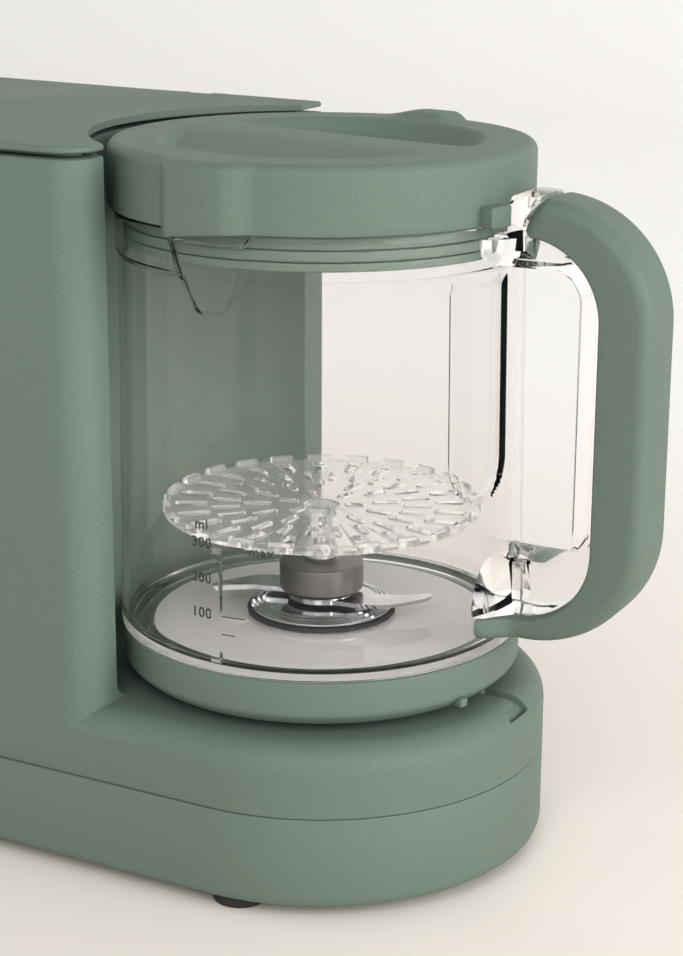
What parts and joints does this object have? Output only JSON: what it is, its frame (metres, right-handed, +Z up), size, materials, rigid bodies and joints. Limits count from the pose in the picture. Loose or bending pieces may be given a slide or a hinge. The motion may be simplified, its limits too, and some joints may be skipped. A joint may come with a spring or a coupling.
{
  "type": "baby food maker",
  "caption": "Countertop baby food maker: a tower with a water tank and steam boiler beside a clear blending jug with a handle, spout and twist-on lid.",
  "frame": {"origin": "on the floor under the middle of the bounding box", "axes": "+X from the tower towards the jug's handle, +Y towards the back, +Z up; the jug's spout and the control knob face -Y"},
  "size_m": [0.284, 0.149, 0.2112],
  "materials": {
    "sage_plastic": "fine matte texture, sage green",
    "clear_plastic": "clear copolyester, polished",
    "smoked_plastic": "translucent, satin",
    "black_rubber": "matte",
    "silicone": "soft matte silicone",
    "steel": "brushed stainless",
    "polished_steel": "polished stainless",
    "dark_steel": "dark brushed stainless",
    "zinc_steel": "zinc plated",
    "dark_plastic": "satin black",
    "circuit_board": "green solder resist",
    "light_guide": "milky diffuser"
  },
  "bodies": {
    "housing": {"lower_shell": "sage_plastic", "main_housing": "sage_plastic", "cover_hinge_pin": "steel", "foot_front_right": "black_rubber", "foot_rear_right": "black_rubber", "foot_front_left": "black_rubber", "foot_rear_left": "black_rubber", "base_screw_1": "zinc_steel", "base_screw_2": "zinc_steel", "base_screw_3": "zinc_steel", "base_screw_4": "zinc_steel", "base_screw_5": "zinc_steel", "water_tank": "smoked_plastic", "boiler": "steel", "heater_plate": "zinc_steel", "boiler_cradle": "dark_plastic", "steam_pipe": "silicone", "steam_nozzle": "dark_plastic", "circuit_board": "circuit_board", "cord_gland": "black_rubber", "indicator_ring": "light_guide", "control_switch": "dark_plastic", "motor": "zinc_steel", "motor_bracket": "dark_plastic", "drive_seal": "silicone"},
    "cover": {"tank_cover": "sage_plastic"},
    "knob": {"control_knob": "sage_plastic", "knob_shaft": "zinc_steel"},
    "rotor": {"motor_shaft": "steel", "drive_coupling": "dark_plastic"},
    "jug": {"jug_body": "clear_plastic", "handle_grip": "sage_plastic", "jug_skirt": "sage_plastic", "bearing_gasket": "black_rubber", "blade_bearing": "polished_steel", "bearing_nut": "dark_plastic"},
    "blades": {"driven_coupling": "dark_plastic", "blade_shaft": "steel", "blade_hub": "dark_steel", "cutting_blade": "steel"},
    "disc": {"blending_disc": "clear_plastic"},
    "lid": {"lid_collar": "sage_plastic", "lid_seal": "silicone"},
    "cap": {"lid_cap": "sage_plastic"}
  },
  "joints": [
    {"name": "cover_open", "type": "hinge", "parent": "housing", "child": "cover", "pos_m": [-0.087, 0.0646, 0.2086], "axis": [-1, 0, 0], "range_deg": [0, 80]},
    {"name": "knob_turn", "type": "hinge", "parent": "housing", "child": "knob", "pos_m": [-0.092, -0.0665, 0.058], "axis": [0, -1, 0], "range_deg": [-90, 90]},
    {"name": "rotor_spin", "type": "hinge", "parent": "housing", "child": "rotor", "pos_m": [0.039, 0, 0.04], "axis": [0, 0, 1], "continuous": true},
    {"name": "jug_lift", "type": "slide", "parent": "housing", "child": "jug", "axis": [0, 0, 1], "range_m": [0, 0.12]},
    {"name": "blade_spin", "type": "hinge", "parent": "jug", "child": "blades", "pos_m": [0.039, 0, 0.07], "axis": [0, 0, 1], "continuous": true},
    {"name": "disc_lift", "type": "slide", "parent": "jug", "child": "disc", "axis": [0, 0, 1], "range_m": [0, 0.07]},
    {"name": "lid_lift", "type": "slide", "parent": "jug", "child": "lid", "axis": [0, 0, 1], "range_m": [0, 0.08]},
    {"name": "lid_turn", "type": "hinge", "parent": "lid", "child": "cap", "pos_m": [0.039, 0, 0.2], "axis": [0, 0, 1], "range_deg": [-20, 0]}
  ],
  "couplings": [
    {"joint": "rotor_spin", "follows": "blade_spin", "ratio": 1}
  ]
}
